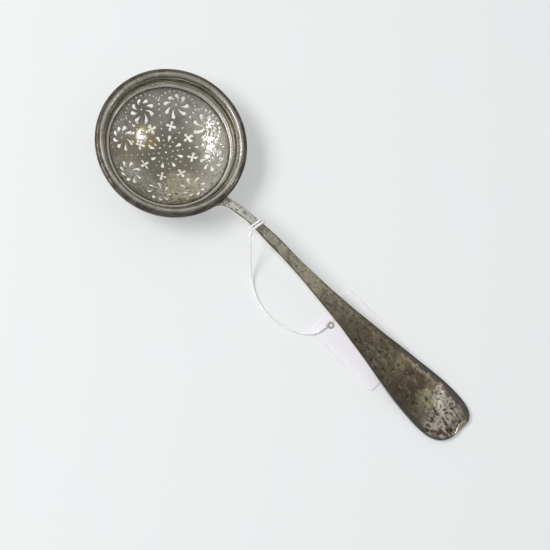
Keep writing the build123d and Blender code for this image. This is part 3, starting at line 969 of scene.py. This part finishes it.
def silver_rim():
    """Worn bright on the reed, with a painted highlight on its side towards the light, dark in the groove, grey brown
    on the outer slope, streaked round the ring.
    """
    n = Nodes("tarnished silver rim")
    r = n.radius()
    streak = n.noise(1.0, 5, 0.62, place=n.rings(4.0, 2.0))
    blotch = n.noise(2.4, 5, 0.65, warp=0.6)
    across = n.stray(r, blotch, 0.35)
    colour = n.ramp(n.span(across, 21.5, 25.2, kind="LINEAR"), [
        (0.12, SILVER), (0.27, (0.68, 0.66, 0.60)), (0.42, (0.68, 0.66, 0.60)), (0.54, (0.52, 0.49, 0.44)),
        (0.62, (0.20, 0.18, 0.155)), (0.68, (0.16, 0.14, 0.12)), (0.84, (0.23, 0.21, 0.185)),
        (1.0, (0.14, 0.125, 0.11)),
    ])
    colour = n.stain_or_light(colour, (0.21, 0.19, 0.155), n.span(streak, 0.42, 0.66, 0.0, 0.4))
    # painted highlight: near-white on the reed only on the side that faces the light
    painted_reed_highlight = n.times(n.patch(15.0, 17.0, 10.0, 21.0, 4.0), n.span(r, 21.9, 22.05),
                       n.span(r, 22.8, 23.2, 1.0, 0.0))
    colour = n.stain_or_light(colour, PAINTED_HIGHLIGHT_SILVER, painted_reed_highlight, n.span(streak, 0.40, 0.66, 1.0, 0.6))
    stain_or_light = n.span(n.noise(4.0, 6, 0.7, warp=0.5), 0.47, 0.58)
    colour = n.stain_or_light(colour, (0.085, 0.072, 0.068), stain_or_light, n.span(across, 23.3, 24.0, 0.25, 0.75))
    colour = n.stain_or_light(colour, BLACK, n.span(n.noise(0.5, 4, 0.65), 0.62, 0.72, 0.0, 0.7))
    rough = n.span(blotch, 0.35, 0.7, 0.12, 0.28)
    normal = n.bump(n.noise(0.8, 4, 0.6), 0.010)
    return n.finish(Base_Color=colour, Metallic=1.0, Roughness=rough, Normal=normal)


def silver_handle():
    """Bright by the bowl, where the silver is little tarnished and a painted reflection of light from above lies on
    the level neck, then mottled grey, olive and brown, with rubbed cream patches near the end, grey margins, and a
    painted shade line along the edges between the top and the walls."""
    n = Nodes("tarnished silver handle")
    x, y, _ = n.parts()
    wander = n.stray(x, n.noise(6.0, 5, 0.65, warp=0.5), 10.0)
    # painted reflection: the near-white band on the neck up to the thread is partly worn silver, partly the light from
    # above that the level neck reflects
    colour = n.ramp(n.span(wander, 23.0, 136.0, kind="LINEAR"), [
        (0.0, (0.46, 0.44, 0.38)), (0.045, (0.94, 0.92, 0.86)), (0.125, (0.95, 0.93, 0.87)),
        (0.15, (0.66, 0.63, 0.54)), (0.26, (0.62, 0.59, 0.47)), (0.38, (0.58, 0.53, 0.39)),
        (0.45, (0.31, 0.275, 0.21)), (0.58, (0.17, 0.145, 0.095)), (0.80, (0.13, 0.105, 0.07)),
        (0.88, (0.30, 0.26, 0.19)), (1.0, (0.34, 0.31, 0.27)),
    ])
    past_thread = n.span(x, 38.0, 40.0)
    broad = n.noise(3.4, 5, 0.66, warp=0.5)
    fine = n.noise(1.0, 6, 0.74, place=n.stretched(0.5, 1, 1), warp=0.3)
    flake = n.noise(2.9, 7, 0.72, place=n.stretched(0.75, 1.1, 1), warp=0.3)

    # mottling, from broad worn patches to fine brown specks
    worn = n.times(n.span(n.noise(7.0, 5, 0.62, place=n.stretched(0.6, 1.2, 1)), 0.46, 0.60), past_thread)
    colour = n.stain_or_light(colour, (0.40, 0.38, 0.32), worn, n.span(x, 112, 120, 1.0, 0.0), n.span(fine, 0.42, 0.58),
                     n.span(x, 60, 90, 0.75, 0.5))
    colour = n.stain_or_light(colour, (0.15, 0.125, 0.085), n.span(broad, 0.50, 0.57), past_thread, 0.55)
    colour = n.stain_or_light(colour, (0.36, 0.345, 0.29), n.span(fine, 0.54, 0.62), past_thread,
                     n.span(x, 60, 80, 0.15, 0.40))
    rubbed = n.math("MAXIMUM", n.patch(125.0, 2.0, 3.0, 8.5, 9.0), n.patch(128.6, -5.0, 3.4, 7.0, 6.0))
    colour = n.stain_or_light(colour, (0.13, 0.095, 0.07), rubbed, 0.9)
    colour = n.stain_or_light(colour, (0.70, 0.645, 0.58), rubbed, n.span(flake, 0.462, 0.487))
    colour = n.stain_or_light(colour, (0.45, 0.42, 0.25), n.patch(118.5, -0.5, 1.0, 4.8, 6.0),
                     n.span(fine, 0.34, 0.52, 0.2, 0.9))
    colour = n.stain_or_light(colour, (0.25, 0.22, 0.12), n.patch(103.5, 2.0, 1.0, 6.0, 7.0),
                     n.span(fine, 0.34, 0.52, 0.1, 0.6))
    colour = n.stain_or_light(colour, (0.075, 0.055, 0.04), n.span(n.noise(1.3, 5, 0.7, warp=0.5), 0.56, 0.59),
                     n.span(x, 62, 90, 0.6, 1.0))

    # margins, ragged and wider towards the end
    from_near = n.math("ADD", y, n.edge_line(x, [*NEAR_ROOT, *((s[0], s[1]) for s in STATIONS), *TIP[-3:]]))
    from_far = n.math("SUBTRACT", n.edge_line(x, [*FAR_ROOT, *((s[0], s[2]) for s in STATIONS), *TIP[:3]]), y)
    near_edge = n.math("ADD", from_near, n.span(x, 120, 127, 0.7, 1.7))
    edge = n.math("MINIMUM", near_edge, n.math("ADD", from_far, 0.2))
    edge = n.stray(n.stray(edge, broad, 5.0), fine, 3.4)
    margin = n.span(n.math("SUBTRACT", edge, n.span(x, 60, 100, 0.0, 1.6)), 0.0, 1.4, 1.0, 0.0)
    far = n.span(y, -1.0, 1.0)
    reach = n.mix(far, n.span(x, 100, 116, 0.1, 0.9), n.span(x, 82, 116, 0.2, 0.94))
    colour = n.stain_or_light(colour, (0.135, 0.13, 0.125), margin, reach)

    # the knocked corner, and a painted highlight along the crease where it starts
    wave = n.math("COSINE", n.times(n.math("SUBTRACT", y, KNOCK[1]), KNOCK_WAVE))
    past = n.math("SUBTRACT", x, n.math("SUBTRACT", KNOCK[0], n.times(wave, KNOCK_CURVE)))
    colour = n.stain_or_light(colour, (0.56, 0.54, 0.36), n.span(past, 0.0, 0.2), n.patch(133.4, 1.6, 2.5, 3.0))
    # painted highlight: a near-white line along the crease where the knocked corner starts
    colour = n.stain_or_light(colour, (0.85, 0.82, 0.70), n.span(n.math("ABSOLUTE", past), 0.10, 0.30, 1.0, 0.0),
                     n.patch(133.4, 1.2, 2.8, 3.4), n.span(fine, 0.35, 0.5, 0.4, 1.0))

    # black pits, painted shade at the root by the rim, a painted shade line along the edges, and the walls
    pits = n.times(n.span(n.noise(0.62, 5, 0.68, warp=0.5), 0.55, 0.59), n.span(edge, 0.3, 1.6, 1.0, 0.35))
    colour = n.stain_or_light(colour, BLACK, pits, 0.95)
    # painted shade: dark where the neck runs in under the rim, broken up by noise
    colour = n.stain_or_light(colour, (0.15, 0.13, 0.10), n.patch(24.3, -2.0, 0.5, 4.2, 3.0),
                     n.span(n.noise(0.8, 5, 0.7, warp=0.5), 0.44, 0.54, 0.25, 0.85))
    # painted shade: a dark line along the rounded edges between the top and the walls
    painted_edge_shade = n.math("MAXIMUM", n.span(from_near, 0.25, 0.55, 1.0, 0.0), n.span(from_far, 0.15, 0.5, 0.8, 0.0))
    colour = n.stain_or_light(colour, (0.085, 0.075, 0.062), painted_edge_shade, n.span(broad, 0.36, 0.5, 0.35, 0.9),
                     n.span(x, 96, 112, 1.0, 0.3))
    wall = n.mix(n.span(wander, 96, 116), (0.90, 0.86, 0.80), (0.20, 0.19, 0.18))
    wall = n.stain_or_light(wall, (0.42, 0.35, 0.24), n.span(fine, 0.56, 0.68, 0.0, 0.6))
    colour = n.mix(n.upward(), wall, colour)
    rough = n.math("ADD", n.span(broad, 0.35, 0.7, 0.12, 0.24), n.times(margin, far, 0.3))
    normal = n.bump(fine, 0.008)
    normal = n.bump(n.noise(0.14, 3, 0.7, place=n.stretched(0.10, 1, 1)), 0.004, normal)
    return n.finish(Base_Color=colour, Metallic=1.0, Roughness=rough, Normal=normal)


def cotton():
    """White cotton, fibrous and matt."""
    n = Nodes("cotton thread")
    fibre = n.noise(0.09, 3, 0.7)
    colour = n.mix(n.span(n.noise(1.4, 3), 0.4, 0.65), (0.95, 0.95, 0.95), (0.86, 0.86, 0.85))
    rough = n.span(fibre, 0.3, 0.7, 0.75, 0.95)
    return n.finish(Base_Color=colour, Roughness=rough, Normal=n.bump(fibre, 0.02))


def card():
    """Matt card, faintly lavender, bleached on the handle's far side, with painted shade on its edge walls."""
    n = Nodes("ticket_card")
    fibre = n.noise(0.22, 5, 0.7)
    colour = n.mix(n.span(n.noise(3.0, 4), 0.35, 0.7), (0.905, 0.895, 0.965), (0.89, 0.88, 0.955))
    colour = n.mix(n.span(n.parts()[1], 3.0, 6.5), colour, (0.925, 0.93, 0.955))
    # painted shade: the card's walls and underside are made darker so its edges do not catch the light
    colour = n.mix(n.upward(), (0.62, 0.61, 0.66), colour)
    return n.finish(Base_Color=colour, Roughness=n.span(fibre, 0.3, 0.7, 0.7, 0.9), Normal=n.bump(fibre, 0.02))


def dull_brass():
    """Plated brass gone dull in spots."""
    n = Nodes("dull brass")
    colour = n.mix(n.span(n.noise(0.5, 4), 0.4, 0.62), (0.88, 0.86, 0.82), (0.58, 0.55, 0.50))
    return n.finish(Base_Color=colour, Metallic=1.0, Roughness=n.span(n.noise(0.3), 0.3, 0.7, 0.25, 0.5),
                    Normal=n.bump(n.noise(0.25), 0.02))


# ---------------------------------------------------------------- floor and light
FLOOR_HALF, FLOOR_DROP = 1.6, 0.00002
LAMP_AIM, LAMP_DISTANCE = (0.05, 0, 0), 1.2


def make_floor():
    """The pale floor. It glows a little, and more under the bowl, where it is seen through the holes."""
    mesh, half = bpy.data.meshes.new("floor"), FLOOR_HALF
    corners = [(-half, -half, 0), (half, -half, 0), (half, half, 0), (-half, half, 0)]
    mesh.from_pydata(corners, [], [(0, 1, 2, 3)])
    floor = bpy.data.objects.new("floor", mesh)
    floor.location.z = -FLOOR_DROP
    bpy.context.scene.collection.objects.link(floor)
    n = Nodes("pale floor")
    tone = n.mix(n.span(n.noise(40, 2), 0.3, 0.7), (0.60, 0.61, 0.615), (0.59, 0.605, 0.615))
    r = n.radius()
    shade = n.times(n.patch(11.0, -8.0, 2.0, 9.0), 0.16)
    glow = n.math("SUBTRACT", n.span(r, 16.0, 23.0, 0.58, 0.27), shade)
    tint = n.mix(n.span(r, 16.0, 23.0), (1.0, 0.985, 0.935), (0.95, 0.975, 1.0))
    n.finish(Base_Color=tone, Roughness=0.9, Emission_Color=tint, Emission_Strength=glow)
    mesh.materials.append(n.material)
    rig.stage(floor)


def area_light(name, towards, width, height, power, colour):
    """A soft box that faces the object from a direction."""
    data = bpy.data.lights.new(name, "AREA")
    data.energy, data.color = power, colour
    data.shape = "RECTANGLE"
    data.size, data.size_y = width, height
    lamp = bpy.data.objects.new(name, data)
    way = Vector(towards).normalized()
    lamp.location = Vector(LAMP_AIM) + way * LAMP_DISTANCE
    lamp.rotation_mode = "QUATERNION"
    lamp.rotation_quaternion = way.to_track_quat("Z", "Y")
    bpy.context.scene.collection.objects.link(lamp)
    return lamp


def make_world():
    """A grey room, darker low down and brighter on the -X side."""
    world = bpy.data.worlds.new("studio")
    bpy.context.scene.world = world
    world.use_nodes = True
    tree = world.node_tree
    back = tree.nodes["Background"]
    where = tree.nodes.new("ShaderNodeTexCoord")
    split = tree.nodes.new("ShaderNodeSeparateXYZ")
    ramp = tree.nodes.new("ShaderNodeValToRGB")
    tree.links.new(where.outputs["Generated"], split.inputs[0])
    tree.links.new(split.outputs[2], ramp.inputs["Fac"])
    tree.links.new(ramp.outputs["Color"], back.inputs["Color"])
    stops = ((0.0, 0.05), (0.08, 0.12), (0.28, 0.50), (1.0, 0.52))
    while len(ramp.color_ramp.elements) < len(stops):
        ramp.color_ramp.elements.new(0.5)
    for element, (at, grey) in zip(ramp.color_ramp.elements, stops):
        element.position, element.color = at, (grey, grey, grey * 0.98, 1)
    side = tree.nodes.new("ShaderNodeMapRange")
    for key, number in (("From Min", -1.0), ("From Max", 1.0), ("To Min", 1.35), ("To Max", 0.60)):
        side.inputs[key].default_value = number
    tree.links.new(split.outputs[0], side.inputs["Value"])
    tree.links.new(side.outputs["Result"], back.inputs["Strength"])


def make_lights():
    """A window and a far lamp for the two glares in the bowl, and a soft box for the light and shadows."""
    area_light("window", (-0.53, -0.38, 0.755), 0.88, 0.12, 1.5, (1.0, 0.99, 0.97))
    area_light("far lamp", (0.42, 0.45, 0.79), 0.20, 0.14, 0.35, (1.0, 0.98, 0.95))
    soft_box = area_light("soft box", (-0.56, -0.42, 0.72), 0.6, 0.4, 8.5, (1.0, 0.995, 0.985))
    soft_box.visible_glossy = False


# ---------------------------------------------------------------- the scene
def main():
    make_camera()
    thread = cotton()
    tail, line = make_tail(thread)
    turns = [make_wrap(i, thread) for i in range(2)]
    neck_knot = make_knot("knot_at_neck", NECK_KNOT, thread, "neck_knot")
    ticket_knot = make_knot("knot_at_ticket", TICKET_KNOT, thread, "ticket_knot")
    ticket = make_ticket(card())
    eyelet = make_eyelet(dull_brass())
    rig.cord(tail, exit=line[0], length=TAIL_LENGTH, diameter=THREAD * MM, far_end="knot", stiffness="limp",
            lay="loose", path=line, with_pieces=[neck_knot, ticket_knot, ticket, eyelet] + turns)
    make_bowl(silver_bowl())
    make_rim(silver_rim())
    make_handle(silver_handle())
    make_floor()
    make_world()
    make_lights()
    bpy.context.scene.view_settings.view_transform = "Standard"


main()
made_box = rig.bounds()
with open("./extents.json", "w") as out:
    json.dump({"cad": [list(corner) for corner in cad_box], "made": [list(corner) for corner in made_box]}, out)
